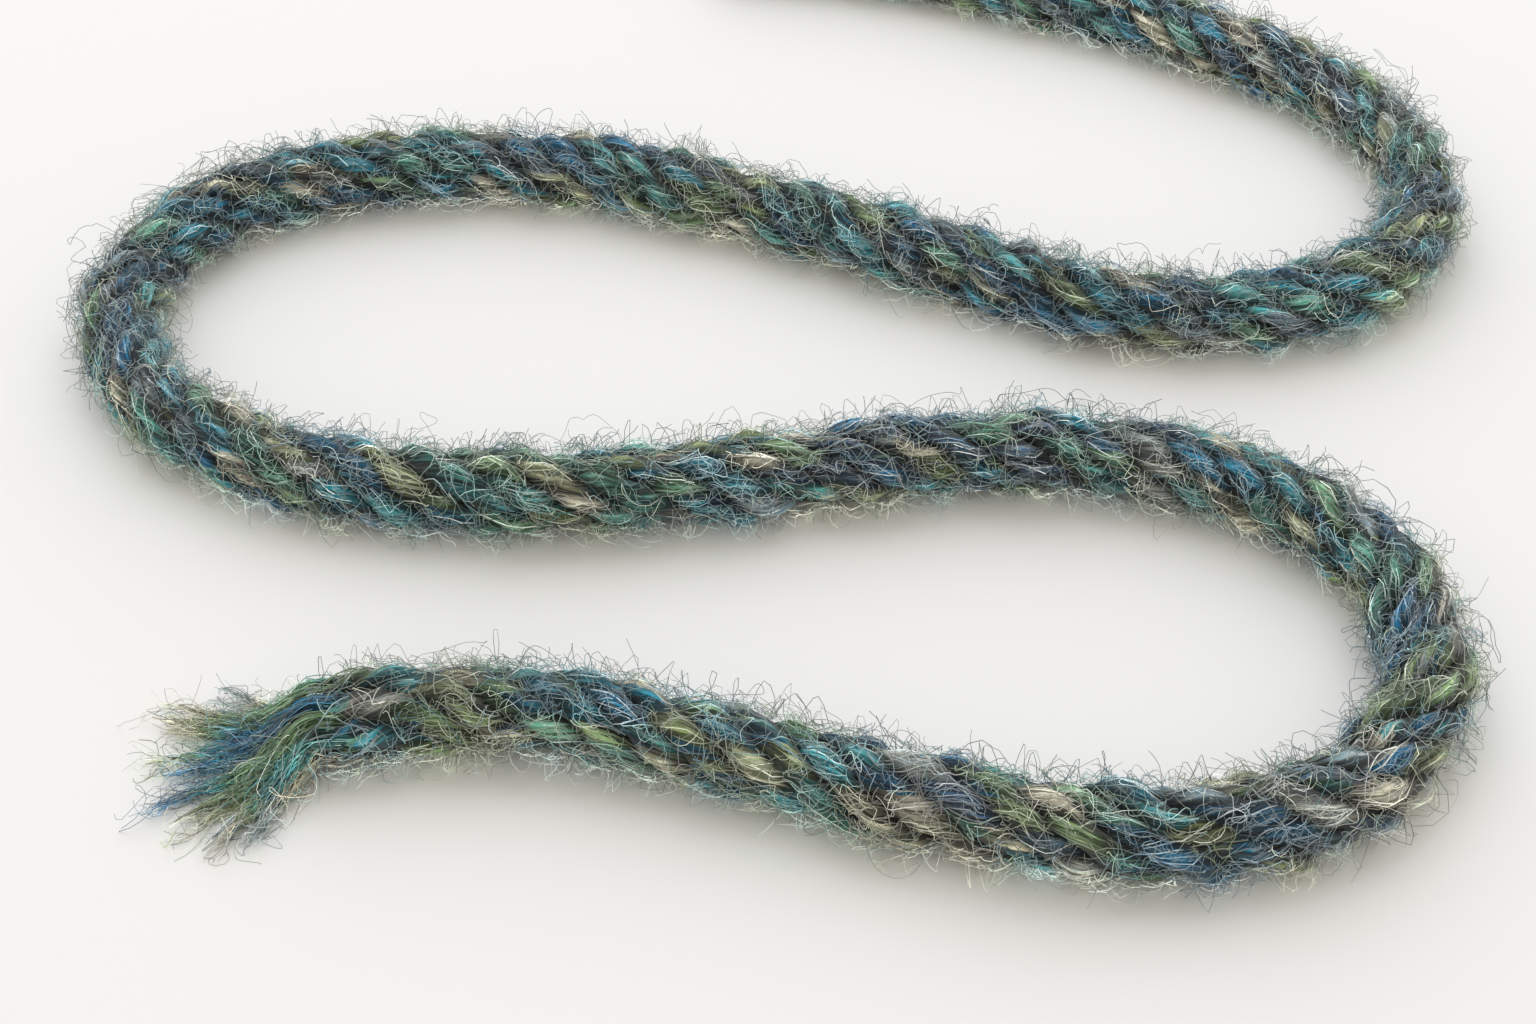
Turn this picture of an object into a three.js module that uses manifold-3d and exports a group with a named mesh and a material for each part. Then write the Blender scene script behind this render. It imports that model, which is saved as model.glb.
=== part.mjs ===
// A cut length of heathered wool yarn: six strands twisted together, lying on a flat surface
// in wide S-bends. One end is frayed into loose locks and the other is cut square.
// Millimetres, +Z up. The underside of the yarn is pressed flat at z = 0.
import * as THREE from 'three';
import { mergeVertices } from 'three/addons/utils/BufferGeometryUtils.js';
import Module from 'manifold-3d';

const wasm = await Module();
wasm.setup();

// The yarn
const YARN_DIAMETER = 5;
const STRANDS = 6;
const STRAND_DIAMETER = 0.38 * YARN_DIAMETER;
const TWIST_PITCH = 3.5 * YARN_DIAMETER; // length of one right-handed turn
const PRESS_DEPTH = 0.08 * YARN_DIAMETER; // how far the yarn's weight flattens its underside
const CREASE_FILL = 0.06 * YARN_DIAMETER; // creases this close to the surface are filled
const AXIS_HEIGHT = YARN_DIAMETER / 2 - PRESS_DEPTH;

// The mesh
const POINTS_PER_STRAND = 4;
const STEP = 0.36 * YARN_DIAMETER; // distance between sections
const GAP = 0.3; // between the yarn and its frayed end

// The middle line of the yarn, seen from above, from the cut end to the frayed one
const ROUTE = [
  [-5.5, 44.2], [4, 42.5], [13.5, 39], [22.5, 35], [30, 30.5], [36.5, 25.5], [41.5, 18],
  [42, 9], [37.5, 2], [29, -1.5], [20, -1], [11.5, 3], [3.5, 7], [-4.5, 10.5], [-13, 13.5],
  [-22, 14.5], [-30.5, 13], [-38.5, 9], [-42.4, 0.5], [-40.2, -8], [-34, -14.2], [-25, -17.5],
  [-16, -18.5], [-7.5, -18], [1.5, -16.5], [10.5, -15], [19.5, -15.5], [27.6, -18.6],
  [33.3, -25.2], [33.8, -34], [28.7, -41], [19.5, -44], [11, -43], [2.5, -40.5], [-6, -37.5],
  [-15, -35.5], [-20.5, -35.8], [-25.5, -36.7],
];

// The frayed end: a short stub of the cord, and the locks that fan out of it on the surface.
// A lock turns away from the cord's direction, anticlockwise in degrees seen from above.
// Its root is at the height called rise, shifted to the right of the cord's middle line.
const STUB_LENGTH = 0.4 * YARN_DIAMETER;
const LOCK_ROOT_DEPTH = STUB_LENGTH / 3; // how far a lock starts inside the stub
const LOCK_SETTLES = 0.75; // share of a lock's length in which it sinks to the surface
const LOCK_STEPS = 7;
const LOCK_FLATNESS = 0.7; // height of a lock over its width
const LOCK_TIP = 0.35; // width at the tip over width at the root
const LOCKS = [
  { turn: -42, length: 6.4, width: 1.3, rise: 2.6, shift: 1.5 },
  { turn: -22, length: 9, width: 1.5, rise: 3.3, shift: 1 },
  { turn: -12, length: 7.8, width: 1.5, rise: 1.4, shift: 1.1 },
  { turn: -3, length: 8.8, width: 1.6, rise: 3.4, shift: 0.2 },
  { turn: 4, length: 7.6, width: 1.8, rise: 1.6, shift: 0.1 },
  { turn: 13, length: 8.8, width: 1.5, rise: 3.2, shift: -0.6 },
  { turn: 25, length: 8.4, width: 1.9, rise: 1.5, shift: -0.9 },
  { turn: 40, length: 7.2, width: 1.6, rise: 2.6, shift: -1.4 },
  { turn: 54, length: 5.6, width: 1.4, rise: 1.4, shift: -1.5 },
];

const WOOL = { color: 0x3f6672, roughness: 0.95, metalness: 0 };
const LOCK_WOOL = { color: 0x5c7a6a, roughness: 0.95, metalness: 0 };

const radians = THREE.MathUtils.degToRad;
const route = new THREE.CatmullRomCurve3(ROUTE.map(([x, y]) => new THREE.Vector3(x, y, 0)));
route.arcLengthDivisions = 2000;
const routeLength = route.getLength();

// The yarn's radius at an angle from the middle of a strand. The round strands meet in creases
// half way between their middles.
function strandRadius(angle) {
  const ring = (YARN_DIAMETER - STRAND_DIAMETER) / 2;
  const across = ring * Math.sin(angle);
  return ring * Math.cos(angle) + Math.sqrt((STRAND_DIAMETER / 2) ** 2 - across ** 2);
}

// The twisted section at a distance along the route, as points round the middle line.
function twistedSection(distance) {
  const along = distance / routeLength;
  const middle = route.getPointAt(along);
  const ahead = route.getTangentAt(along);
  const side = new THREE.Vector3(ahead.y, -ahead.x, 0);
  const sector = (2 * Math.PI) / STRANDS;
  const points = [];
  for (let strand = 0; strand < STRANDS; strand++) {
    for (let k = 0; k < POINTS_PER_STRAND; k++) {
      const fromMiddle = (k / POINTS_PER_STRAND - 0.5) * sector;
      const radius = strandRadius(fromMiddle);
      const angle = strand * sector + fromMiddle + (2 * Math.PI * distance) / TWIST_PITCH;
      const height = AXIS_HEIGHT + radius * Math.cos(angle);
      const point = middle.clone().addScaledVector(side, radius * Math.sin(angle));
      points.push(point.setZ(height < CREASE_FILL ? 0 : height));
    }
  }
  return { middle: middle.setZ(AXIS_HEIGHT), points };
}

// A closed skin over a row of sections with the same number of points each.
function skin(sections) {
  const sides = sections[0].points.length;
  const vertices = sections.flatMap(({ points }) => points);
  const faces = [];
  for (let row = 0; row + 1 < sections.length; row++) {
    for (let k = 0; k < sides; k++) {
      const here = row * sides + k;
      const next = row * sides + ((k + 1) % sides);
      faces.push(here, next, here + sides, next, next + sides, here + sides);
    }
  }
  const start = vertices.push(sections[0].middle) - 1;
  const end = vertices.push(sections.at(-1).middle) - 1;
  const last = (sections.length - 1) * sides;
  for (let k = 0; k < sides; k++) {
    const next = (k + 1) % sides;
    faces.push(start, next, k, end, last + k, last + next);
  }
  const geometry = new THREE.BufferGeometry().setFromPoints(vertices);
  geometry.setIndex(faces);
  return geometry;
}

// The twisted cord between two distances along the route.
function twistedCord(from, to) {
  const steps = Math.round((to - from) / STEP);
  const distances = Array.from({ length: steps + 1 }, (_, k) => from + ((to - from) * k) / steps);
  return skin(distances.map(twistedSection));
}

// One lock: a four-sided taper that leaves the stub, sinks to the surface and lies level on it.
function lock({ turn, length, width, rise, shift }) {
  const cord = route.getTangentAt(1);
  const root = route.getPointAt(1).add(new THREE.Vector3(cord.y, -cord.x, 0).multiplyScalar(shift));
  const heading = Math.atan2(cord.y, cord.x) + radians(turn);
  const ahead = new THREE.Vector3(Math.cos(heading), Math.sin(heading), 0);
  const side = new THREE.Vector3(ahead.y, -ahead.x, 0);
  const sections = [];
  for (let k = 0; k <= LOCK_STEPS; k++) {
    const along = k / LOCK_STEPS;
    const halfWidth = (width / 2) * THREE.MathUtils.lerp(1, LOCK_TIP, along);
    const halfHeight = halfWidth * LOCK_FLATNESS;
    const sunk = THREE.MathUtils.smoothstep(along, 0, LOCK_SETTLES);
    const middle = root.clone().addScaledVector(ahead, length * along - LOCK_ROOT_DEPTH);
    middle.z = THREE.MathUtils.lerp(rise, halfHeight, sunk);
    const corner = (across, up) => middle.clone().addScaledVector(side, across * halfWidth)
      .setZ(middle.z + up * halfHeight);
    sections.push({ middle, points: [corner(-1, -1), corner(-1, 1), corner(1, 1), corner(1, -1)] });
  }
  return skin(sections);
}

function solid(geometry) {
  const merged = mergeVertices(geometry);
  return new wasm.Manifold(new wasm.Mesh({
    numProp: 3,
    vertProperties: merged.attributes.position.array,
    triVerts: new Uint32Array(merged.index.array),
  }));
}

// One solid of all the geometries, with the tiny pockets between them closed.
function joined(geometries) {
  const shells = geometries.map(solid).reduce((a, b) => a.add(b)).decompose();
  const outer = shells.reduce((a, b) => (b.volume() > a.volume() ? b : a));
  const { vertProperties, triVerts } = outer.getMesh();
  const geometry = new THREE.BufferGeometry();
  geometry.setAttribute('position', new THREE.BufferAttribute(vertProperties, 3));
  geometry.setIndex(new THREE.BufferAttribute(triVerts, 1));
  return geometry;
}

function piece(name, geometry, finish) {
  geometry.computeVertexNormals();
  const mesh = new THREE.Mesh(geometry, new THREE.MeshStandardMaterial(finish));
  mesh.name = name;
  return mesh;
}

const stubStart = routeLength - STUB_LENGTH;
const stub = twistedCord(stubStart, routeLength);

const yarn = new THREE.Group();
yarn.add(piece('yarn', twistedCord(0, stubStart - GAP), WOOL));
yarn.add(piece('frayed_end', joined([stub, ...LOCKS.map(lock)]), LOCK_WOOL));

export default yarn;
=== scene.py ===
"""Heathered wool yarn: six twisted strands in wide S-bends on a pale table, with one frayed end.

The strands, the fibres on them and the locks of the frayed end are grown by Geometry Nodes
trees along the yarn's route. Metres, +Z up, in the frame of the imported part.
"""

import math

import bpy
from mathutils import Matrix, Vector


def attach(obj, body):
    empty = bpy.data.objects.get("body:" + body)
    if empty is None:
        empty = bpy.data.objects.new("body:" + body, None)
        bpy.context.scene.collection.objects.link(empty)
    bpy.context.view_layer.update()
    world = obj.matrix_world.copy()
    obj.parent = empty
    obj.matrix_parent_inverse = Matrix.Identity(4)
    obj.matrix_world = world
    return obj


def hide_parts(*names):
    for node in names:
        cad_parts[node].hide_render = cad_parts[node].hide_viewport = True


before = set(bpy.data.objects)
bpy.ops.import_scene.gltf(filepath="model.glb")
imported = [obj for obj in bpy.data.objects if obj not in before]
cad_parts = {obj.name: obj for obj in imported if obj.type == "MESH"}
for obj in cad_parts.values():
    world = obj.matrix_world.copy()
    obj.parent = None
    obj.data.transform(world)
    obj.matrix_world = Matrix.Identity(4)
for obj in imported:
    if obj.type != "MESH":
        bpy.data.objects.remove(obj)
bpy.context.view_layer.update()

# Sizes of the yarn
MM = 0.001
YARN_DIAMETER = 5 * MM
STRANDS = 6
STRAND_RADIUS = 0.22 * YARN_DIAMETER  # 0.19 in the solid: here loose wool fills the creases
STRAND_RING = YARN_DIAMETER / 2 - STRAND_RADIUS
SECTOR = math.tau / STRANDS  # of the yarn's section, one for each strand
TWIST_PITCH = 3.5 * YARN_DIAMETER
LOOSENED = 9 * MM  # length before the frayed end over which the twist runs out
UNEVEN_TWIST = 0.5  # radians by which the twist runs ahead of or behind an even one
UNEVEN_LENGTH = 7 * MM
PRESS_DEPTH = 0.08 * YARN_DIAMETER
FLUFF = 0.15 * MM  # how much the loose wool under the yarn lifts it over the solid's middle line
AXIS_HEIGHT = YARN_DIAMETER / 2 - PRESS_DEPTH + FLUFF

# The yarn's middle line seen from above, from the cut end to the frayed one, as in the part's
# source
ROUTE = [
    (-0.0055, 0.0442), (0.0040, 0.0425), (0.0135, 0.0390), (0.0225, 0.0350), (0.0300, 0.0305),
    (0.0365, 0.0255), (0.0415, 0.0180), (0.0420, 0.0090), (0.0375, 0.0020), (0.0290, -0.0015),
    (0.0200, -0.0010), (0.0115, 0.0030), (0.0035, 0.0070), (-0.0045, 0.0105), (-0.0130, 0.0135),
    (-0.0220, 0.0145), (-0.0305, 0.0130), (-0.0385, 0.0090), (-0.0424, 0.0005),
    (-0.0402, -0.0080), (-0.0340, -0.0142), (-0.0250, -0.0175), (-0.0160, -0.0185),
    (-0.0075, -0.0180), (0.0015, -0.0165), (0.0105, -0.0150), (0.0195, -0.0155),
    (0.0276, -0.0186), (0.0333, -0.0252), (0.0338, -0.0340), (0.0287, -0.0410),
    (0.0195, -0.0440), (0.0110, -0.0430), (0.0025, -0.0405), (-0.0060, -0.0375),
    (-0.0150, -0.0355), (-0.0205, -0.0358), (-0.0255, -0.0367),
]
ROUTE_STEPS = 16  # between two route points

# Dyes of the wool in sRGB, in the order in which they blend into each other
DYES = [
    (32, 84, 112),
    (32, 112, 152),
    (44, 136, 162),
    (34, 142, 162),
    (84, 170, 178),
    (86, 154, 136),
    (114, 152, 110),
    (132, 150, 96),
    (212, 204, 184),
    (138, 160, 168),
    (48, 84, 114),
]
PALE_WOOL = (230, 232, 226)
PATCH_LENGTH = 9 * MM  # of one dye along a strand
PATCH_WIDTH = 2.6 * MM
PATCH_SHARE = 0.6  # of the tufts that take the dye of their patch; the others have their own
DYE_SPREAD = 0.06  # of the dyes from 0 to 1, inside one tuft or lock

# How the fibres lie on a strand, in tufts that cross it from crease to crease
FIBRE_SLANT = 0.76 / MM  # radians round the strand for each metre along it, against the twist
SHOWN_TURN = 2.4  # radians of a strand's own section that show between its neighbours
SWELL_LENGTH = 4 * MM
SWELL = 0.15  # share of the strand's radius
STRAY = 0.6 * MM  # how far a strand dives under and climbs over its neighbours
TUFT_LENGTH = 5 * MM
TUFT_WIDTH = 1.8 * MM
TUFT_HEIGHT = 0.5 * MM
TUFT_EDGE = 0.4  # how far inside its outline a tuft has its full height, in pattern units
TUFT_LEVEL = 0.9  # share of a tuft's height that lies inside the strand's even radius
TUFTS_FADE = (0.8, 1.5)  # radians from a strand's outer side between which tufts fade out
CREASE_TURNS = (0.6, 1.3)  # radians from a strand's outer side between which painted shade darkens it and its fibres
CREASE_BRIDGED = 0.4 * MM  # depth in the creases at which loose fibres lie over them
BRIDGE_EDGE = 0.3 * MM  # over which those fibres leave the strands
WEB_HEADING = 0.4  # radians from the yarn's direction, in which most curly fibres lie
THICKNESSES = (0.7, 1.2)  # of the thinnest and thickest fibres, over the piece's thickness

# Places in the endless noise and cell patterns: steps from strand to strand, fibre to fibre or
# lock to lock, and layers, so that no two things copy each other
TUFT_STEPS = (31.7, 17.3)
PATCH_STEP = 11.3
TWIST_LAYER = 9
STRAY_STEP, STRAY_LAYER = 5.1, 3
SWELL_STEP, SWELL_LAYER = 7.3, 0
HAIR_STEP, HAIR_LAYER = 3.7, 50
WANDER_STEP, WANDER_LAYER = 3.17, 0.4
RISE_STEP, RISE_LAYER = 5.31, 4.4
WAVE_STEP, WAVE_LAYER = 2.71, 0.4
LOCK_STEP, LOCK_LAYER = 7.7, 5.4
BUNCH_STEP, BUNCH_LAYER = 3.3, 8
NUMBERS_APART = 10000  # between the fibres of one piece and those of the next

# The locks of the frayed end, in millimetres and degrees. A lock turns anticlockwise away from
# the cord's direction. Its root is at the height called rise, shifted to the right of the cord's
# middle line. Its dye gives way to the tip's. The sizes are those of the part's source, except
# for the whole first lock and the turns of the last two, which are closer to the photograph here.
LOCKS = [
    {"turn": -27, "length": 5.6, "width": 1.2, "rise": 3.0, "shift": 2.0, "dye": 0.55, "tip": 0.9},
    {"turn": -22, "length": 9, "width": 1.5, "rise": 3.3, "shift": 1, "dye": 0.6, "tip": 0.78},
    {"turn": -12, "length": 7.8, "width": 1.5, "rise": 1.4, "shift": 1.1, "dye": 0.12, "tip": 0.76},
    {"turn": -3, "length": 8.8, "width": 1.6, "rise": 3.4, "shift": 0.2, "dye": 0.1, "tip": 0.7},
    {"turn": 4, "length": 7.6, "width": 1.8, "rise": 1.6, "shift": 0.1, "dye": 0.12, "tip": 0.1},
    {"turn": 13, "length": 8.8, "width": 1.5, "rise": 3.2, "shift": -0.6, "dye": 0.6, "tip": 0.06},
    {"turn": 25, "length": 8.4, "width": 1.9, "rise": 1.5, "shift": -0.9, "dye": 0.64, "tip": 0.7},
    {"turn": 37, "length": 7.2, "width": 1.6, "rise": 2.6, "shift": -1.4, "dye": 0.46, "tip": 0.86},
    {"turn": 47, "length": 5.6, "width": 1.4, "rise": 1.4, "shift": -1.5, "dye": 0.8, "tip": 0.87},
]
LOCK_SETTLES = 0.75  # share of a lock's length in which it sinks to the table
LOCK_TIP_HEIGHT = 0.4 * MM
LOCK_WISP = 1.05  # how far the longest fibres reach, over the lock's length
LOCK_LEAVES = 0.3  # share of a lock's line that lies inside the cord
BUNCHES = 2 * len(LOCKS)  # two bunches of fibres in each lock
BUNCH_SPREAD = 0.9 * MM  # how far apart they come at its tip
LOCK_NUMBERS_APART = 556 * BUNCHES  # between two pieces' fibres, for the same bunches in each


# Node trees written as formulas


class Value:
    """An output socket of a node tree. Arithmetic with it adds the nodes that work it out."""

    def __init__(self, net, socket):
        self.net = net
        self.socket = socket

    def __add__(self, other):
        return self.net.arithmetic("ADD", self, other)

    def __radd__(self, other):
        return self.net.arithmetic("ADD", other, self)

    def __sub__(self, other):
        return self.net.arithmetic("SUBTRACT", self, other)

    def __rsub__(self, other):
        return self.net.arithmetic("SUBTRACT", other, self)

    def __mul__(self, other):
        return self.net.arithmetic("MULTIPLY", self, other)

    def __rmul__(self, other):
        return self.net.arithmetic("MULTIPLY", other, self)

    def __truediv__(self, other):
        return self.net.arithmetic("DIVIDE", self, other)


class Node:
    """A node of a tree. Square brackets give its output of that name."""

    def __init__(self, net, node):
        self.net = net
        self.node = node

    def __getitem__(self, name):
        sockets = [s for s in self.node.outputs if s.enabled and s.name == name]
        return Value(self.net, sockets[0])


def is_vector(value):
    if isinstance(value, Value):
        return value.socket.type in ("VECTOR", "RGBA")
    return isinstance(value, tuple)


class Net:
    """A node tree, with a short call for each kind of node that the yarn needs."""

    def __init__(self, tree):
        self.tree = tree

    def plug(self, value, socket):
        if isinstance(value, Value):
            self.tree.links.new(value.socket, socket)
        elif socket.type == "VECTOR" and not isinstance(value, tuple):
            socket.default_value = (value, value, value)
        else:
            socket.default_value = value

    def node(self, kind, inputs=None, **settings):
        node = self.tree.nodes.new(kind)
        for name, value in settings.items():
            setattr(node, name, value)
        for name, value in (inputs or {}).items():
            self.plug(value, next(s for s in node.inputs if s.enabled and s.name == name))
        return Node(self, node)

    def arithmetic(self, operation, a, b):
        if is_vector(a) or is_vector(b):
            return self.vector_math(operation, a, b)
        return self.math(operation, a, b)

    def math(self, operation, *values):
        node = self.tree.nodes.new("ShaderNodeMath")
        node.operation = operation
        for value, socket in zip(values, node.inputs):
            self.plug(value, socket)
        return Value(self, node.outputs["Value"])

    def vector_math(self, operation, *values):
        node = self.tree.nodes.new("ShaderNodeVectorMath")
        node.operation = operation
        for value, socket in zip(values, node.inputs):
            self.plug(value, socket)
        return Node(self, node)["Vector"]

    def vector(self, x, y, z):
        return self.node("ShaderNodeCombineXYZ", {"X": x, "Y": y, "Z": z})["Vector"]

    def parts(self, vector):
        node = self.node("ShaderNodeSeparateXYZ", {"Vector": vector})
        return node["X"], node["Y"], node["Z"]

    def ramp(self, value, low, high, start=0, end=1):
        """start where value is low, end where it is high, and smooth in between."""
        sizes = {"Value": value, "From Min": low, "From Max": high, "To Min": start, "To Max": end}
        return self.node("ShaderNodeMapRange", sizes, interpolation_type="SMOOTHSTEP")["Result"]

    def noise(self, where, detail=0.0):
        """Smooth noise about 0, seldom past 0.5 either way, with one bump to a unit of length."""
        sizes = {"Vector": where, "Scale": 1.0, "Detail": detail}
        return self.node("ShaderNodeTexNoise", sizes)["Fac"] * 2 - 1

    def noise_vector(self, where):
        sizes = {"Vector": where, "Scale": 1.0, "Detail": 0.0}
        return self.node("ShaderNodeTexNoise", sizes)["Color"] * 2 - 1

    def cells(self, where, output="Color", **settings):
        """A Voronoi pattern: three random numbers for each cell, or the distance to its edge."""
        inputs = {"Vector": where, "Scale": 1.0}
        settings = {"voronoi_dimensions": "2D", **settings}
        return self.node("ShaderNodeTexVoronoi", inputs, **settings)[output]

    def tuft_place(self, flow):
        """The place in the pattern of tufts, which differs from strand to strand."""
        along, across, strand = self.parts(flow)
        along = along / TUFT_LENGTH + strand * TUFT_STEPS[0]
        across = across / TUFT_WIDTH + strand * TUFT_STEPS[1]
        return self.vector(along, across, 0)

    def off_tuft(self, flow):
        """How far a place is from the middle of its tuft, along and across the fibres."""
        where = self.tuft_place(flow)
        off = where - self.cells(where, "Position")
        along, across, _ = self.parts(off)
        return along * TUFT_LENGTH, across * TUFT_WIDTH

    def tuft_edge(self, flow):
        """0 in the crease round a tuft of fibres and 1 on its back."""
        where = self.tuft_place(flow)
        inside = self.cells(where, "Distance", feature="DISTANCE_TO_EDGE")
        return self.ramp(inside, 0, TUFT_EDGE)

    def tuft_dye(self, flow):
        """The dye of the wool at a place in the flow: of its tuft, or of a longer patch."""
        along, across, strand = self.parts(flow)
        own, choice, tint = self.parts(self.cells(self.tuft_place(flow)))
        longer = self.vector(along / PATCH_LENGTH + strand * PATCH_STEP, across / PATCH_WIDTH, 0)
        patch = self.parts(self.cells(longer))[0]
        picked = self.math("GREATER_THAN", choice, PATCH_SHARE)
        return patch + picked * (own - patch) + (tint - 0.5) * DYE_SPREAD


def size_name(key):
    """The name of a tree's input for a size."""
    return key.replace("_", " ").capitalize()


class YarnTree(Net):
    """A Geometry Nodes tree that grows something along the yarn's route."""

    def __init__(self, name, **sizes):
        super().__init__(bpy.data.node_groups.new(name, "GeometryNodeTree"))
        self.entry = self.tree.nodes.new("NodeGroupInput")
        self.draws = 0
        lines = self.named_input("Lines", "NodeSocketGeometry")
        self.lines = self.node("GeometryNodeMeshToCurve", {"Mesh": lines})["Curve"]
        self.sizes = {size_name(key): value for key, value in sizes.items()}
        for key, value in sizes.items():
            kind = "NodeSocketInt" if isinstance(value, int) else "NodeSocketFloat"
            setattr(self, key, self.named_input(size_name(key), kind))

    def named_input(self, name, kind):
        self.tree.interface.new_socket(name, in_out="INPUT", socket_type=kind)
        return Value(self, self.entry.outputs[name])

    def draw(self, low, high, number):
        """An even random number from low to high for each numbered fibre."""
        self.draws += 1
        sizes = {"Min": low, "Max": high, "ID": number, "Seed": self.draws}
        return self.node("FunctionNodeRandomValue", sizes)["Value"]

    def store(self, geometry, name, value):
        kind = "FLOAT_VECTOR" if is_vector(value) else "FLOAT"
        inputs = {"Geometry": geometry, "Name": name, "Value": value}
        return self.node("GeometryNodeStoreNamedAttribute", inputs, data_type=kind)["Geometry"]

    def attribute(self, name):
        return self.node("GeometryNodeInputNamedAttribute", {"Name": name})["Attribute"]

    def place(self, geometry, position, lowest):
        """The geometry moved to a position, and never lower than that over the table."""
        x, y, z = self.parts(position)
        above = self.vector(x, y, self.math("MAXIMUM", z, lowest))
        inputs = {"Geometry": geometry, "Position": above}
        return self.node("GeometryNodeSetPosition", inputs)["Geometry"]

    def section(self, distance):
        """The route's point at a distance along it, and the direction to its right."""
        inputs = {"Curves": self.lines, "Length": distance}
        sample = self.node("GeometryNodeSampleCurve", inputs, mode="LENGTH")
        side = self.vector_math("CROSS_PRODUCT", sample["Tangent"], (0, 0, 1))
        return sample["Position"], self.vector_math("NORMALIZE", side)

    def round_axis(self, distance, turn, reach):
        """The point that far from the yarn's middle line, turned from straight up to its right."""
        middle, side = self.section(distance)
        up = self.vector(0, 0, self.math("COSINE", turn) * reach + AXIS_HEIGHT)
        return middle + side * (self.math("SINE", turn) * reach) + up

    def twist(self, distance):
        """The turn of the first strand. It stops turning at the frayed end."""
        back = self.route_length - distance
        loose = self.math("MINIMUM", back, LOOSENED)
        twisted = loose - loose * loose / (2 * LOOSENED) - LOOSENED / 2
        where = self.vector(distance / UNEVEN_LENGTH, 0, TWIST_LAYER)
        uneven = self.noise(where) * loose / LOOSENED
        return (distance + twisted) * (math.tau / TWIST_PITCH) + uneven * UNEVEN_TWIST

    def strand_turn(self, distance, strand):
        return strand * SECTOR + self.twist(distance)

    def stray(self, distance, strand):
        """How much farther out a strand's middle is than on an even ring."""
        where = self.vector(distance / SWELL_LENGTH, strand * STRAY_STEP, STRAY_LAYER)
        return self.noise(where) * STRAY

    def swollen(self, distance, strand):
        """The strand's radius, as it swells and thins."""
        where = self.vector(distance / SWELL_LENGTH, strand * SWELL_STEP, SWELL_LAYER)
        return STRAND_RADIUS * (1 + SWELL * self.noise(where))

    def strand_thickness(self, distance, strand, around):
        """How far the strand's surface is from its middle: its fibres lie in tufts."""
        tuft = self.tuft_edge(self.flow(distance, strand, around))
        shown = self.ramp(self.math("ABSOLUTE", around), *TUFTS_FADE, 1, 0)
        return self.swollen(distance, strand) + TUFT_HEIGHT * (tuft - TUFT_LEVEL) * shown

    def flow(self, distance, strand, around):
        """Where a point lies in the flow of the fibres: along, across them, and on which strand."""
        across = (around + distance * FIBRE_SLANT) * STRAND_RADIUS
        return self.vector(distance, across, strand)

    def strand_at(self, distance, turn):
        """The strand that shows at a turn from straight up, and the turn from its outer side."""
        across = (turn - self.twist(distance)) / SECTOR
        nearest = self.math("ROUND", across)
        strand = self.math("FLOORED_MODULO", nearest, STRANDS)
        return strand, (across - nearest) * SHOWN_TURN

    def on_strand(self, distance, strand, around, reach):
        """The point on a strand that far from its middle, turned round it from its outer side."""
        middle, side = self.section(distance)
        turn = self.strand_turn(distance, strand)
        cosine, sine = self.math("COSINE", turn), self.math("SINE", turn)
        up = self.vector(0, 0, 1)
        outward = up * cosine + side * sine
        sideways = side * cosine - up * sine
        out = self.math("COSINE", around) * reach + STRAND_RING + self.stray(distance, strand)
        beside = self.math("SINE", around) * reach
        return middle + up * AXIS_HEIGHT + outward * out + sideways * beside

    def surface_reach(self, distance, turn):
        """How far a loose fibre that lies on the yarn, over its creases, is from its middle."""
        strand, around = self.strand_at(distance, turn)
        thickness = self.swollen(distance, strand)
        out = self.math("COSINE", around) * thickness + STRAND_RING + self.stray(distance, strand)
        beside = self.math("SINE", around) * thickness
        reach = self.math("SQRT", out * out + beside * beside)
        bridge = YARN_DIAMETER / 2 - CREASE_BRIDGED
        return self.math("SMOOTH_MAX", reach, bridge, BRIDGE_EDGE)

    def many_curves(self, count, points):
        """Numbered curves, and how far along its own curve each point is, from 0 to 1."""
        line = self.node("GeometryNodeCurvePrimitiveLine")["Curve"]
        line = self.node("GeometryNodeResampleCurve", {"Curve": line, "Count": points})["Curve"]
        inputs = {"Geometry": line, "Amount": count}
        many = self.node("GeometryNodeDuplicateElements", inputs, domain="SPLINE")
        share = self.node("GeometryNodeSplineParameter")["Index"] / (points - 1)
        return many["Geometry"], many["Duplicate Index"], share

    def fibres(self, curves, radius):
        """Closed three-sided fibres along the curves."""
        ring = self.node("GeometryNodeCurvePrimitiveCircle", {"Resolution": 3, "Radius": 1.0})
        return self.tubes(curves, ring["Curve"], radius)

    def tubes(self, curves, ring, radius):
        """Closed tubes along the curves, with the ring for their section."""
        inputs = {"Curve": curves, "Profile Curve": ring, "Scale": radius, "Fill Caps": True}
        return self.node("GeometryNodeCurveToMesh", inputs)["Mesh"]

    def finish(self, geometry, material):
        smooth = self.node("GeometryNodeSetShadeSmooth", {"Geometry": geometry})["Geometry"]
        whole = self.node("GeometryNodeRealizeInstances", {"Geometry": smooth})["Geometry"]
        inputs = {"Geometry": whole, "Material": material}
        dressed = self.node("GeometryNodeSetMaterial", inputs)["Geometry"]
        self.tree.interface.new_socket("Mesh", in_out="OUTPUT", socket_type="NodeSocketGeometry")
        end = self.tree.nodes.new("NodeGroupOutput")
        self.tree.links.new(dressed.socket, end.inputs["Mesh"])

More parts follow.
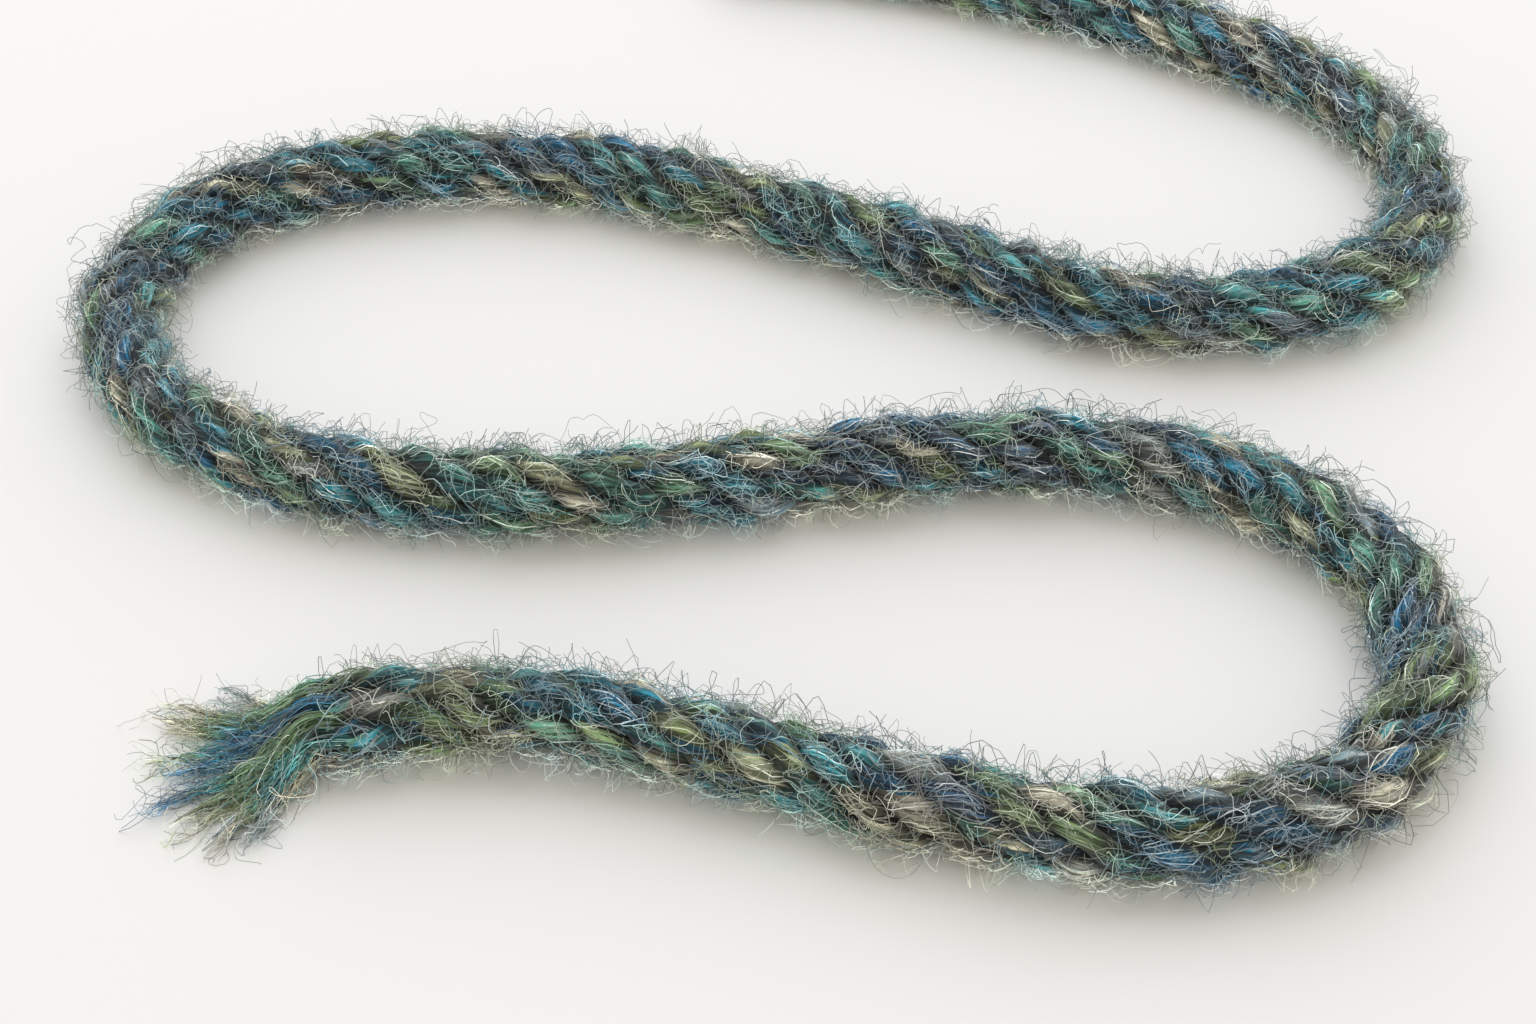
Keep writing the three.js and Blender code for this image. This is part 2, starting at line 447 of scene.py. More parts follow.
    def grow(self, name, lines, **changed):
        """The piece that the tree makes of the lines, as a plain mesh."""
        host = bpy.data.objects.new(name + "_lines", lines)
        bpy.context.scene.collection.objects.link(host)
        modifier = host.modifiers.new("growth", "NODES")
        modifier.node_group = self.tree
        sizes = {**self.sizes, **{size_name(key): value for key, value in changed.items()}}
        for item in self.tree.interface.items_tree:
            if item.name in sizes:
                modifier[item.identifier] = sizes[item.name]
        depsgraph = bpy.context.evaluated_depsgraph_get()
        mesh = bpy.data.meshes.new_from_object(host.evaluated_get(depsgraph))
        mesh.name = name
        bpy.data.objects.remove(host)
        piece = bpy.data.objects.new(name, mesh)
        bpy.context.scene.collection.objects.link(piece)
        return piece


# The route and the locks as lines


def smooth_line(points, steps):
    """A centripetal Catmull-Rom line through the points, as in the part's source."""
    first, last = 2 * points[0] - points[1], 2 * points[-1] - points[-2]
    through = [first, *points, last]
    line = []
    for a, b, c, d in zip(through, through[1:], through[2:], through[3:]):
        before, here, after = ((q - p).length ** 0.5 for p, q in ((a, b), (b, c), (c, d)))
        leave = ((b - a) / before - (c - a) / (before + here) + (c - b) / here) * here
        arrive = ((c - b) / here - (d - b) / (here + after) + (d - c) / after) * here
        for k in range(steps):
            t = k / steps
            line.append(
                (2 * t**3 - 3 * t**2 + 1) * b
                + (t**3 - 2 * t**2 + t) * leave
                + (3 * t**2 - 2 * t**3) * c
                + (t**3 - t**2) * arrive
            )
    return [*line, points[-1]]


def line_mesh(name, lines):
    """A mesh of one chain of edges for each line."""
    points = [p for line in lines for p in line]
    edges = []
    start = 0
    for line in lines:
        edges += [(start + k, start + k + 1) for k in range(len(line) - 1)]
        start += len(line)
    mesh = bpy.data.meshes.new(name)
    mesh.from_pydata(points, edges, [])
    return mesh


def line_length(line):
    return sum((b - a).length for a, b in zip(line, line[1:]))


route = smooth_line([Vector((x, y, 0)) for x, y in ROUTE], ROUTE_STEPS)
route_length = line_length(route)
route_mesh = line_mesh("route", [route])


# Materials

STREAK_LENGTH = 3.5 * MM
STREAK_WIDTH = 0.14 * MM
STREAK_DARK = 0.32  # shade of the darkest streaks
STREAK_LIGHT = 1.9  # how much more the lightest ones have
FRAY_SIZE = (1.5 * MM, 0.2 * MM, 1)  # of the waves in the streaks, along and across them
FRAY_SHIFT = (0.8 * MM, 0.16 * MM, 0)  # how far these move a streak
TUFT_EDGE_SHADE = 0.2  # painted shade in the creases between tufts
CREASE_SHADE = 0.8  # painted shade: how much darker the creases between strands are
HAIR_CURLS = (1.1 * MM, 0.6 * MM)  # sizes along and across of the curls in the pale lines
HAIR_LINE = 0.09  # width of such a line, in the noise's strength
HAIR_COVER = 0.35
HAIR_TONE = 0.8
BUMP_LENGTH = 2.5 * MM
BUMP_WIDTH = 0.1 * MM
BUMP_HEIGHT = 0.05 * MM


def linear(colour):
    """An sRGB colour of 0 to 255 as the shader wants it."""
    parts = [c / 255 for c in colour]
    return (*[p / 12.92 if p <= 0.04045 else ((p + 0.055) / 1.055) ** 2.4 for p in parts], 1)


def wool_base(name):
    material = bpy.data.materials.new(name)
    material.use_nodes = True
    net = Net(material.node_tree)
    shader = material.node_tree.nodes["Principled BSDF"]
    shader.inputs["Roughness"].default_value = 0.7
    shader.inputs["Specular IOR Level"].default_value = 0.3
    shader.inputs["Sheen Weight"].default_value = 0.25
    shader.inputs["Sheen Roughness"].default_value = 0.5
    return material, net, shader


def dyed(net, dye):
    """The colour of a dye from 0 to 1."""
    ramp = net.node("ShaderNodeValToRGB", {"Fac": dye})
    elements = ramp.node.color_ramp.elements
    for k, colour in enumerate(DYES):
        place = k / (len(DYES) - 1)
        element = elements[k] if k < 2 else elements.new(place)
        element.position = place
        element.color = linear(colour)
    return ramp["Color"]


def hair_lines(net, along, across, layer):
    """1 on thin curly lines over the wool and 0 between them."""
    where = net.vector(along / HAIR_CURLS[0], across / HAIR_CURLS[1], layer)
    return net.ramp(net.math("ABSOLUTE", net.noise(where)), 0, HAIR_LINE, 1, 0)


def streaked_wool(name, dye_at):
    """Wool of many fibres side by side, streaked along them, with a dye for each place."""
    material, net, shader = wool_base(name)
    flow = net.node("ShaderNodeAttribute", attribute_name="flow")["Vector"]
    crease = net.node("ShaderNodeAttribute", attribute_name="crease")["Fac"]
    frayed = flow + net.noise_vector(flow / FRAY_SIZE) * FRAY_SHIFT
    along, across, strand = net.parts(frayed)
    streaks = net.vector(along / STREAK_LENGTH, across / STREAK_WIDTH, 0)
    tint, tone, _ = net.parts(net.cells(streaks))
    dye = dye_at(net, frayed) + (tint - 0.5) * DYE_SPREAD
    shade = tone * tone * STREAK_LIGHT + STREAK_DARK
    # Painted shade: darker in the creases between tufts and between strands
    shade = shade * net.ramp(net.tuft_edge(frayed), 0, 1, TUFT_EDGE_SHADE, 1)
    shade = shade * (1 - crease * CREASE_SHADE)
    first = hair_lines(net, along, across, strand * HAIR_STEP)
    second = hair_lines(net, along, across, strand * HAIR_STEP + HAIR_LAYER)
    hairs = net.math("MAXIMUM", first, second) * HAIR_COVER
    pale = tuple(c * HAIR_TONE for c in linear(PALE_WOOL)[:3])
    colour = dyed(net, dye) * (1 - hairs) + net.vector(*pale) * hairs
    net.plug(colour * shade, shader.inputs["Base Color"])
    grain = net.vector(along / BUMP_LENGTH, across / BUMP_WIDTH, strand)
    relief = {
        "Height": net.noise(grain, detail=2.0) + hairs,
        "Distance": BUMP_HEIGHT,
        "Strength": 1.0,
    }
    net.plug(net.node("ShaderNodeBump", relief)["Normal"], shader.inputs["Normal"])
    return material


def fibre_wool():
    """Wool of single fibres, each of one dye, paleness and tone. Paleness and tone also hold
    painted light and painted shade.
    """
    material, net, shader = wool_base("fibre wool")
    dye = net.node("ShaderNodeAttribute", attribute_name="dye")["Fac"]
    pale = net.node("ShaderNodeAttribute", attribute_name="pale")["Fac"]
    tone = net.node("ShaderNodeAttribute", attribute_name="tone")["Fac"]
    colour = dyed(net, dye) * (1 - pale) + net.vector(*linear(PALE_WOOL)[:3]) * pale
    net.plug(colour * tone, shader.inputs["Base Color"])
    return material


def stored_dye(net, _flow):
    return net.node("ShaderNodeAttribute", attribute_name="dye")["Fac"]


strand_material = streaked_wool("strand wool", Net.tuft_dye)
lock_material = streaked_wool("lock wool", stored_dye)
fibre_material = fibre_wool()

# The camera, at the photograph's angle

VIEW_ELEVATION = math.radians(43)
VIEW_DISTANCE = 0.140
VIEW_TARGET = Vector((-0.0015, -0.0205, 0.0025))

camera_data = bpy.data.cameras.new("camera")
camera_data.lens = 57.09
camera_data.clip_start = 0.005
camera_data.clip_end = 5
camera = bpy.data.objects.new("camera", camera_data)
away = Vector((0, -math.cos(VIEW_ELEVATION), math.sin(VIEW_ELEVATION)))
camera.location = VIEW_TARGET + away * VIEW_DISTANCE
camera.rotation_euler = (math.pi / 2 - VIEW_ELEVATION, 0, 0)
bpy.context.scene.collection.objects.link(camera)
bpy.context.scene.camera = camera

# The twisted strands

OUTER_POINTS = 0.75  # how strongly a tube's points gather on the strand's outer side
FRAYED_OVER = 3 * MM  # length over which the strands thin into the frayed end
FRAYED_TO = 0.15  # of their thickness
INNER_SIDE = 1.5  # radians from a strand's outer side at which it meets the other strands
INNER_REACH = 0.3  # of its radius, where it lies flat against them
CUT_REACH = 1.35  # the same at the cut end, where the wool closes the middle
CUT_OVER = 1.5 * MM
CUT_FACE = 0.5 * MM  # length from the cut end over which the painted shade in the creases sets in
CUT_STEP = 0.08 * MM  # each strand is cut this much farther back than the one before


def twisted_strands():
    net = YarnTree("twisted strands", route_length=route_length, rows=640, around=10)
    tube = net.node(
        "GeometryNodeMeshCylinder",
        {"Vertices": net.around, "Side Segments": net.rows, "Radius": 1.0, "Depth": 1.0},
        fill_type="TRIANGLE_FAN",
    )["Mesh"]
    starts = net.node("GeometryNodeMeshLine", {"Count": STRANDS, "Offset": (0, 0, 0)})["Mesh"]
    starts = net.store(starts, "strand", net.node("GeometryNodeInputIndex")["Index"])
    tubes = net.node("GeometryNodeInstanceOnPoints", {"Points": starts, "Instance": tube})
    tubes = net.node("GeometryNodeRealizeInstances", {"Geometry": tubes["Instances"]})["Geometry"]
    strand = net.attribute("strand")
    x, y, z = net.parts(net.node("GeometryNodeInputPosition")["Position"])
    cut = strand * CUT_STEP
    distance = (z + 0.5) * (net.route_length - cut) + cut
    even = net.math("ARCTAN2", y, x)
    around = even - net.math("SINE", even) * OUTER_POINTS
    rim = net.math("SQRT", x * x + y * y)
    thin_from = net.route_length - FRAYED_OVER
    frayed = net.ramp(distance, thin_from, net.route_length, 1, FRAYED_TO)
    away = net.math("ABSOLUTE", around)
    inner_reach = net.ramp(distance, 0, CUT_OVER, CUT_REACH, INNER_REACH)
    pressed = net.ramp(away, INNER_SIDE, math.pi, 1, inner_reach)
    reach = net.strand_thickness(distance, strand, around) * rim * frayed * pressed
    # Painted shade in the creases between strands, none on the cut face
    crease = net.ramp(away, *CREASE_TURNS) * net.ramp(distance - cut, 0, CUT_FACE)
    tubes = net.store(tubes, "flow", net.flow(distance, strand, around))
    tubes = net.store(tubes, "crease", crease)
    tubes = net.place(tubes, net.on_strand(distance, strand, around, reach), 0.0)
    net.finish(tubes, strand_material)
    return net.grow("twisted_strands", route_mesh)


# Fibres that lie along the strands

END_KEPT = 1.5 * MM  # at either end of the yarn, where no such fibre has its middle
SURFACE_TURN = 2.3  # radians from straight up, as far as they lie on the yarn
GATHERED = 0.6  # how far they move from an even spread to the middle of their tuft
WANDER = 0.6  # radians round the strand
WANDER_WAVES = 1.6
SLOPE_SPREAD = 0.14  # radians round the strand for each millimetre, either way of the slant
TUFT_EDGE_FIBRE_SHADE = 0.45  # painted shade: tone of the fibres in the creases between tufts
CREASE_FIBRE_SHADE = 0.2  # painted shade: tone of those between strands
PALE_POWER = 3.0  # the higher, the fewer pale fibres


def surface_fibres():
    net = YarnTree(
        "surface fibres",
        route_length=route_length,
        count=5400,
        points=6,
        seed=1,
        shortest=2.0 * MM,
        longest=4.2 * MM,
        lifted=0.14 * MM,
        raised=0.3 * MM,
        thinnest=0.022 * MM,
        thickest=0.04 * MM,
        oddness=0.04,
        paleness=0.45,
        bright_paleness=0.5,
        least_tone=1.05,
        contrast=1.9,
    )
    curves, number, share = net.many_curves(net.count, net.points)
    number = number + net.seed * NUMBERS_APART
    length = net.draw(net.shortest, net.longest, number)
    middle = net.draw(0, 1, number) * (net.route_length - 2 * END_KEPT) + END_KEPT
    strand, start = net.strand_at(middle, net.draw(-SURFACE_TURN, SURFACE_TURN, number))
    off_along, off_across = net.off_tuft(net.flow(middle, strand, start))
    middle = middle - off_along * GATHERED
    start = start + off_along * (GATHERED * FIBRE_SLANT)
    run = length * (share - 0.5)
    distance = middle + run
    wander = net.noise(net.vector(number * WANDER_STEP, share * WANDER_WAVES, WANDER_LAYER))
    pinch = (share * 2 - 1) * (share * 2 - 1) * off_across * (GATHERED / STRAND_RADIUS)
    slope = net.draw(-SLOPE_SPREAD, SLOPE_SPREAD, number) / MM - FIBRE_SLANT
    around = start + run * slope + wander * WANDER - pinch
    rise = net.noise(net.vector(number * RISE_STEP, share * WANDER_WAVES, RISE_LAYER))
    lift = net.draw(0.0, net.lifted, number) + rise * net.raised
    reach = net.strand_thickness(distance, strand, around) + lift
    dye = net.tuft_dye(net.flow(middle, strand, start))
    dye = dye + net.draw(-DYE_SPREAD / 2, DYE_SPREAD / 2, number)
    odd = net.math("GREATER_THAN", net.draw(0, 1, number), 1 - net.oddness)
    bright = net.draw(0, 1, number)
    # Painted shade: fibres in the creases between tufts and between strands are darker
    edge = net.tuft_edge(net.flow(distance, strand, around))
    edge = edge * (1 - TUFT_EDGE_FIBRE_SHADE) + TUFT_EDGE_FIBRE_SHADE
    crease = net.ramp(net.math("ABSOLUTE", around), *CREASE_TURNS, 1, CREASE_FIBRE_SHADE) * edge
    curves = net.store(curves, "dye", dye + odd * (net.draw(0, 1, number) - dye))
    pale = net.math("POWER", net.draw(0, 1, number), PALE_POWER) * net.paleness
    curves = net.store(curves, "pale", pale + bright * bright * net.bright_paleness)
    tone = bright * bright * net.contrast + net.least_tone
    curves = net.store(curves, "tone", tone * crease)
    radius = net.draw(net.thinnest, net.thickest, number)
    curves = net.place(curves, net.on_strand(distance, strand, around, reach), radius)
    net.finish(net.fibres(curves, radius), fibre_material)
    return net.grow("surface_fibres", route_mesh)


# Loose fibres: a curly web over the strands, short fuzz and a few long loops

LOOSE_TURN = 2.6  # radians from straight up, as far as they lie on the yarn
WAVE_LIFT = 0.3  # how much of their waves goes outward
FREE_SHARE = 0.5  # of them stick out with one end, and the others are loops
PAINTED_LIGHT_TURNS = (1.7, 2.3)  # radians from straight up between which painted light on the low fibres by the table sets in
# painted light: how much paler and brighter those low fibres are made
PAINTED_LIGHT_PALER = 0.6
PAINTED_LIGHT_BRIGHTER = 1.1
LOOSE_CREASE = (0.6, 1.2)  # radians from a strand's outer side between which painted shade darkens them
OUTLYING = (0.3 * MM, 1.2 * MM)  # heights between which they count as far from the yarn, where painted shade darkens them
OUTLYING_PAINTED_SHADE = 0.4
LEAST_PALE = 0.3  # of the piece's paleness
LOOSE_TONES = (0.6, 1.2)


def loose_fibres():
    net = YarnTree(
        "loose fibres",
        route_length=route_length,
        count=2500,
        points=12,
        seed=3,
        shortest=1.5 * MM,
        longest=2.9 * MM,
        spread=0.75,
        closest=0.05 * MM,
        farthest=0.3 * MM,
        curl=1.5 * MM,
        waves=2.1,
        thickness=0.022 * MM,
        oddness=0.14,
        paleness=0.6,
        brightness=2.0,
        crease_shade=0.5,
    )
    curves, number, share = net.many_curves(net.count, net.points)
    number = number + net.seed * NUMBERS_APART
    heading = net.draw(-1, 1, number) * net.spread + WEB_HEADING
    length = net.draw(net.shortest, net.longest, number)
    middle = net.draw(0, 1, number) * (net.route_length - length) + length * 0.5
    run = length * (share - 0.5)
    wave = net.noise_vector(net.vector(number * WAVE_STEP, share * net.waves, WAVE_LAYER))
    bend, swing, lift = net.parts(wave * net.curl)
    distance = middle + run * net.math("COSINE", heading) + bend
    sideways = run * net.math("SINE", heading) + swing
    turn = net.draw(-LOOSE_TURN, LOOSE_TURN, number) + sideways / (YARN_DIAMETER / 2)
    rarity = net.draw(0, 1, number)
    height = net.farthest * rarity * rarity * (length / net.longest) + net.closest
    loop = net.math("SINE", share * math.pi)
    free = net.math("GREATER_THAN", net.draw(0, 1, number), 1 - FREE_SHARE)
    rise = loop + free * (share - loop)
    reach = net.surface_reach(distance, turn) + height * rise + lift * WAVE_LIFT
    strand, around = net.strand_at(distance, turn)
    dye = net.tuft_dye(net.flow(distance, strand, around))
    odd = net.math("LESS_THAN", net.draw(0, 1, number), net.oddness)
    curves = net.store(curves, "dye", dye + odd * (net.draw(0, 1, number) - dye))
    # Painted light: fibres low by the table are made paler and brighter
    low = net.ramp(net.math("ABSOLUTE", turn), *PAINTED_LIGHT_TURNS)
    pale = net.draw(LEAST_PALE, 1, number) * net.paleness
    curves = net.store(curves, "pale", pale + (1 - pale) * low * PAINTED_LIGHT_PALER)
    # Painted shade on the fibres over the creases between strands
    crease = net.ramp(net.math("ABSOLUTE", around), *LOOSE_CREASE) * net.crease_shade
    # Painted shade on the fibres far from the yarn
    painted_outlying_shade = net.ramp(height, *OUTLYING) * (1 - low) * OUTLYING_PAINTED_SHADE
    tone = net.draw(*LOOSE_TONES, number) * net.brightness * (1 - painted_outlying_shade)
    curves = net.store(curves, "tone", tone * (1 - crease) * (low * PAINTED_LIGHT_BRIGHTER + 1))
    radius = net.thickness * net.draw(*THICKNESSES, number)
    curves = net.place(curves, net.round_axis(distance, turn, reach), radius)
    net.finish(net.fibres(curves, radius), fibre_material)
    web = net.grow("fibre_web", route_mesh)
    fuzz = [
        net.grow(
            f"fuzz_{k}",
            route_mesh,
            seed=3 + k,
            count=5460,
            points=6,
            shortest=0.8 * MM,
            longest=2.0 * MM,
            spread=1.3,
            closest=0.38 * MM,
            farthest=1.6 * MM,
            curl=1.3 * MM,
            waves=1.1,
            thickness=0.02 * MM,
            oddness=0.1,
            paleness=0.6,
            brightness=1.15,
            crease_shade=0.4,
        )
        for k in (1, 2)
    ]
    loops = net.grow(
        "long_loops",
        route_mesh,
        seed=6,
        count=165,
        points=44,
        shortest=3 * MM,
        longest=8 * MM,
        spread=math.pi,
        closest=0.4 * MM,
        farthest=2.9 * MM,
        curl=4 * MM,
        waves=3.5,
        thickness=0.018 * MM,
        paleness=0.5,
        brightness=0.8,
        crease_shade=0.0,
    )
    return [web, *fuzz, loops]


# The frayed end: fibres of each lock leave their strand and fan out over the table

LOCK_INSIDE = (10, 6, 3)  # route steps before the cord's end, through which a lock's line runs
LOCK_BEND = 0.15  # share of its length that a lock runs straight on before it turns
LOCK_POINTS = 7  # of a lock's line outside the cord
LOCK_STEPS = 2  # between two of its points
BUNCH_WAVES = 2.0
BUNCH_PARTS = (1, 1, 0.4)  # bunches part sideways more than upward
DYE_WAVES = 3.0
DYE_CHANGE = 0.1  # of the dyes from 0 to 1, along a bunch
CORE_SHARE = 0.86  # of a bunch has a core
CORE_TIP_DYE = (0.68, 0.78)  # shares of a core between which its dye gives way to the tip's
CORE_WIDTHS = (0.32, 0.03)  # at the cord and at the tip, over the lock's width
CORE_FLOW = (14 * MM, 3 * MM)  # length and girth of a core in the flow of the fibres
LATE_SHARE = 0.45  # of the fibres start and end farther out
LATE_BY = 0.15
FIBRE_TIP_DYE = (0.6, 0.85)
TIP_GATHERED = 0.12  # how far apart the fibres still are at the tip
TIP_FROM = 0.9
LOCK_HEIGHT = 0.8  # of a lock's fibres over their width
LEAST_CURL = 0.6
WILD_POWER = 3.0  # the higher, the fewer very curly fibres
LOCK_PALE_POWER = 2.5  # the higher, the fewer pale fibres
LOCK_TONE = 0.6  # of the darkest fibres
LOCK_CONTRAST = 2.6


def lock_line(lock):
    """A lock's middle line: along its strand inside the cord, then out and down to the table."""
    ahead = (route[-1] - route[-2]).normalized()
    side = Vector((ahead.y, -ahead.x, 0))
    shift, up = lock["shift"] * MM, lock["rise"] * MM - AXIS_HEIGHT
    turn, reach = math.atan2(shift, up), math.hypot(shift, up)
    line = []
    for steps in LOCK_INSIDE:
        back = line_length(route[-1 - steps :])
        angle = turn - math.tau * back * back / (2 * LOOSENED * TWIST_PITCH)
        beside = side * (reach * math.sin(angle))
        above = Vector((0, 0, AXIS_HEIGHT + reach * math.cos(angle)))
        line.append(route[-1 - steps] + beside + above)
    root = route[-1] + side * shift
    heading = math.atan2(ahead.y, ahead.x) + math.radians(lock["turn"])
    length = lock["length"] * MM * LOCK_WISP
    bend = root + ahead * (LOCK_BEND * length)
    tip = root + Vector((math.cos(heading), math.sin(heading), 0)) * length
    for k in range(LOCK_POINTS):
        t = k / (LOCK_POINTS - 1)
        point = (1 - t) ** 2 * root + 2 * t * (1 - t) * bend + t**2 * tip
        sunk = min(t * LOCK_WISP / LOCK_SETTLES, 1)
        sunk = sunk * sunk * (3 - 2 * sunk)
        point.z = lock["rise"] * MM * (1 - sunk) + LOCK_TIP_HEIGHT * sunk
        line.append(point)
    return smooth_line(line, LOCK_STEPS)


def lock_lines():
    """A mesh of the locks' middle lines, with each lock's dyes and width on its points."""
    lines = [lock_line(lock) for lock in LOCKS]
    mesh = line_mesh("locks", lines)
    facts = mesh.attributes.new("facts", "FLOAT_VECTOR", "POINT")
    values = []
    for lock, line in zip(LOCKS, lines):
        values += [lock["dye"], lock["tip"], lock["width"] * MM] * len(line)
    facts.data.foreach_set("vector", values)
    return mesh


class LockTree(YarnTree):
    """A tree that grows something along the bunches of fibres in the frayed end's locks."""

    def follow(self, number, share):
        """The place at a share of a bunch's length, two directions across it, dyes and width."""
        bunch = self.math("FLOORED_MODULO", number, BUNCHES)
        lock = self.math("FLOOR", bunch / 2)
        kind = {"data_type": "FLOAT_VECTOR"}
        facts = self.node("GeometryNodeInputNamedAttribute", {"Name": "facts"}, **kind)
        inputs = {
            "Curves": self.lines,
            "Curve Index": lock,
            "Factor": share,
            "Value": facts["Attribute"],
        }
        settings = {"mode": "FACTOR", "use_all_curves": False, **kind}
        sample = self.node("GeometryNodeSampleCurve", inputs, **settings)
        beside = self.vector_math("CROSS_PRODUCT", sample["Tangent"], (0, 0, 1))
        beside = self.vector_math("NORMALIZE", beside)
        over = self.vector_math("CROSS_PRODUCT", beside, sample["Tangent"])
        apart = self.noise_vector(self.vector(lock * LOCK_STEP, share * BUNCH_WAVES, LOCK_LAYER))
        apart = apart * BUNCH_PARTS * (self.ramp(share, LOCK_LEAVES, 1) * BUNCH_SPREAD)
        apart = apart * ((bunch - lock * 2) * 2 - 1)
        dye, tip, width = self.parts(sample["Value"])
        own = self.noise(self.vector(bunch * BUNCH_STEP, share * DYE_WAVES, BUNCH_LAYER))
        own = own * DYE_CHANGE
        return sample["Position"] + apart, beside, over, dye + own, tip + own, width


def lock_cores(mesh):
    """The dense inside of each bunch, streaked like a strand and tapered to its tip."""
    net = LockTree("lock cores", points=30, around=8)
    curves, number, share = net.many_curves(BUNCHES, net.points)
    place, _, _, dye, tip, width = net.follow(number, share * CORE_SHARE)
    curves = net.store(curves, "dye", dye + (tip - dye) * net.ramp(share, *CORE_TIP_DYE))
    curves = net.store(curves, "along", share * CORE_FLOW[0])
    curves = net.store(curves, "bunch", number)
    radius = width * net.ramp(share, LOCK_LEAVES, 1, *CORE_WIDTHS)
    curves = net.place(curves, place, radius)
    ring = net.node("GeometryNodeCurvePrimitiveCircle", {"Resolution": net.around, "Radius": 1.0})
    turn = net.node("GeometryNodeInputIndex")["Index"] / net.around - 0.5
    ring = net.store(ring["Curve"], "across", net.math("ABSOLUTE", turn) * CORE_FLOW[1])
    cores = net.tubes(curves, ring, radius)
    flow = net.vector(net.attribute("along"), net.attribute("across"), net.attribute("bunch"))
    cores = net.store(net.store(cores, "flow", flow), "crease", 0.0)
    net.finish(cores, lock_material)
    return net.grow("lock_cores", mesh)


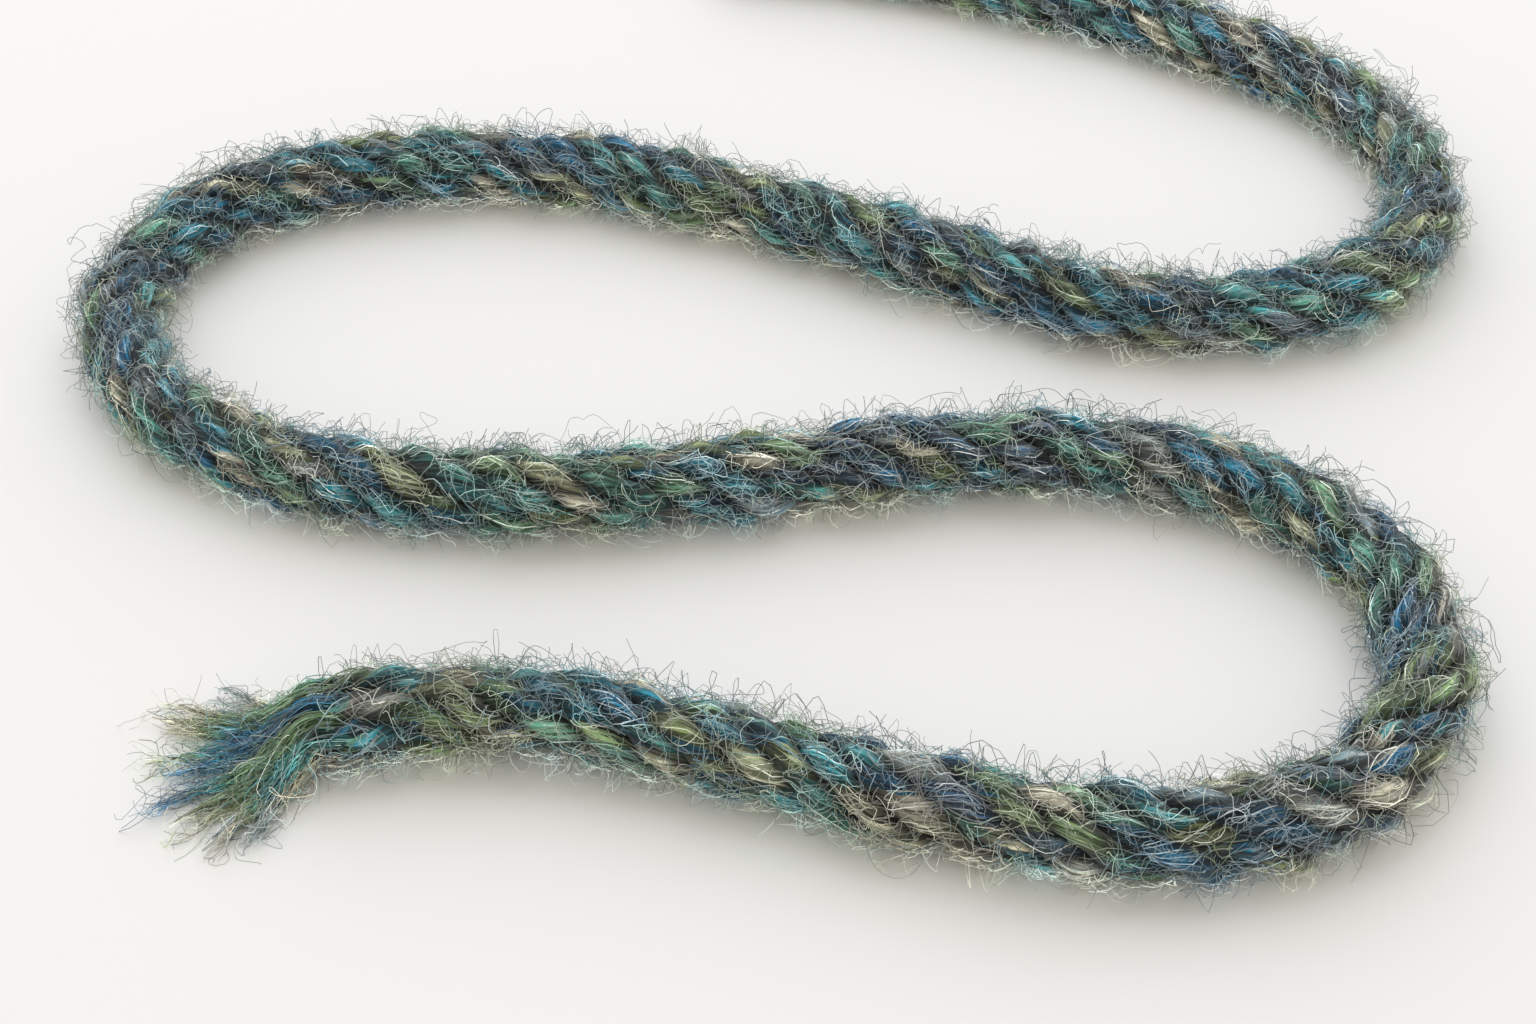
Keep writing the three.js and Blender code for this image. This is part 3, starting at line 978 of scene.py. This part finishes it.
def lock_fibres(mesh):
    """The locks' fibres, the fuzz on them and a few curls over them."""
    net = LockTree(
        "lock fibres",
        count=1000,
        points=20,
        seed=0,
        first_start=0.0,
        last_start=0.4,
        shortest=0.45,
        longest=0.8,
        width=0.44,
        uneven=0.32,
        leaving=0.0,
        curl=0.42 * MM,
        waves=4.0,
        thickness=0.028 * MM,
        oddness=0.07,
        paleness=0.55,
        brightness=1.0,
    )
    curves, number, share = net.many_curves(net.count, net.points)
    number = number + net.seed * LOCK_NUMBERS_APART
    start = net.draw(net.first_start, net.last_start, number)
    end = start + net.draw(net.shortest, net.longest, number)
    late = net.math("GREATER_THAN", net.draw(0, 1, number), 1 - LATE_SHARE)
    start = start + late * LATE_BY
    last = CORE_SHARE + late * (1 - CORE_SHARE) - net.draw(0, net.uneven, number)
    end = net.math("MINIMUM", end + late * LATE_BY, last)
    along = start + share * (end - start)
    place, beside, over, dye, tip, width = net.follow(number, along)
    dye = dye + net.ramp(along, *FIBRE_TIP_DYE) * (tip - dye)
    angle = net.draw(0, math.tau, number)
    off = net.draw(0.5, 1, number) * width * net.width
    off = off * net.ramp(along, LOCK_LEAVES, TIP_FROM, 1, TIP_GATHERED)
    off = off + net.draw(0, 1, number) * share * net.leaving
    place = place + beside * (net.math("COSINE", angle) * off)
    place = place + over * (net.math("SINE", angle) * off * LOCK_HEIGHT)
    wild = net.math("POWER", net.draw(0, 1, number), WILD_POWER)
    wave = net.noise_vector(net.vector(number * WAVE_STEP, share * net.waves, WAVE_LAYER))
    place = place + wave * (net.curl * (wild + LEAST_CURL))
    radius = net.thickness * net.draw(*THICKNESSES, number)
    curves = net.place(curves, place, radius)
    odd = net.math("GREATER_THAN", net.draw(0, 1, number), 1 - net.oddness)
    dye = dye + net.draw(-DYE_SPREAD / 2, DYE_SPREAD / 2, number)
    curves = net.store(curves, "dye", dye + odd * (net.draw(0, 1, number) - dye))
    pale = net.math("POWER", net.draw(0, 1, number), LOCK_PALE_POWER) * net.paleness
    curves = net.store(curves, "pale", pale)
    bright = net.draw(0, 1, number)
    tone = bright * bright * LOCK_CONTRAST + LOCK_TONE
    curves = net.store(curves, "tone", tone * net.brightness)
    net.finish(net.fibres(curves, radius), fibre_material)
    locks = net.grow("frayed_locks", mesh)
    fuzz = net.grow(
        "lock_fuzz",
        mesh,
        count=800,
        points=9,
        seed=7,
        first_start=0.3,
        last_start=0.8,
        shortest=0.1,
        longest=0.25,
        width=0.5,
        uneven=0.0,
        leaving=1.3 * MM,
        curl=1.5 * MM,
        waves=1.4,
        thickness=0.015 * MM,
        paleness=0.8,
        brightness=0.8,
    )
    curls = net.grow(
        "lock_curls",
        mesh,
        count=54,
        points=40,
        seed=8,
        first_start=0.2,
        last_start=0.5,
        shortest=0.3,
        longest=0.5,
        uneven=0.0,
        leaving=1.0 * MM,
        curl=1.8 * MM,
        waves=6.0,
        thickness=0.017 * MM,
        paleness=0.9,
        brightness=0.8,
    )
    return [locks, fuzz, curls]


strands = twisted_strands()
lock_mesh = lock_lines()
cores = lock_cores(lock_mesh)
loose_wool = lock_fibres(lock_mesh)
wool_fibres = [surface_fibres(), *loose_fibres()]
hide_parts("yarn")
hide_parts("frayed_end")
for piece in [strands, *wool_fibres]:
    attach(piece, "root")
for piece in [cores, *loose_wool]:
    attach(piece, "root")

# Floor and light

floor_mesh = bpy.data.meshes.new("table_top")
corners = [(-1.5, -1.5, 0), (1.5, -1.5, 0), (1.5, 1.5, 0), (-1.5, 1.5, 0)]
floor_mesh.from_pydata(corners, [], [(0, 1, 2, 3)])
floor = bpy.data.objects.new("table_top", floor_mesh)
bpy.context.scene.collection.objects.link(floor)
floor_material = bpy.data.materials.new("pale table")
floor_material.use_nodes = True
floor_shader = floor_material.node_tree.nodes["Principled BSDF"]
floor_shader.inputs["Base Color"].default_value = (0.86, 0.852, 0.838, 1)
floor_shader.inputs["Roughness"].default_value = 0.9
floor_mesh.materials.append(floor_material)

world = bpy.data.worlds.new("studio")
world.use_nodes = True
world.node_tree.nodes["Background"].inputs["Color"].default_value = (1, 0.97, 0.89, 1)
world.node_tree.nodes["Background"].inputs["Strength"].default_value = 0.785
bpy.context.scene.world = world

softbox_data = bpy.data.lights.new("softbox", "AREA")
softbox_data.size = 1.35
softbox_data.energy = 9.2
softbox_data.color = (0.81, 0.86, 1)
softbox = bpy.data.objects.new("softbox", softbox_data)
softbox.location = (-0.09, 0.75, 0.81)
softbox.rotation_euler = (Vector((0, 0, 0)) - softbox.location).to_track_quat("-Z", "Y").to_euler()
bpy.context.scene.collection.objects.link(softbox)

bpy.context.scene.view_settings.view_transform = "Standard"
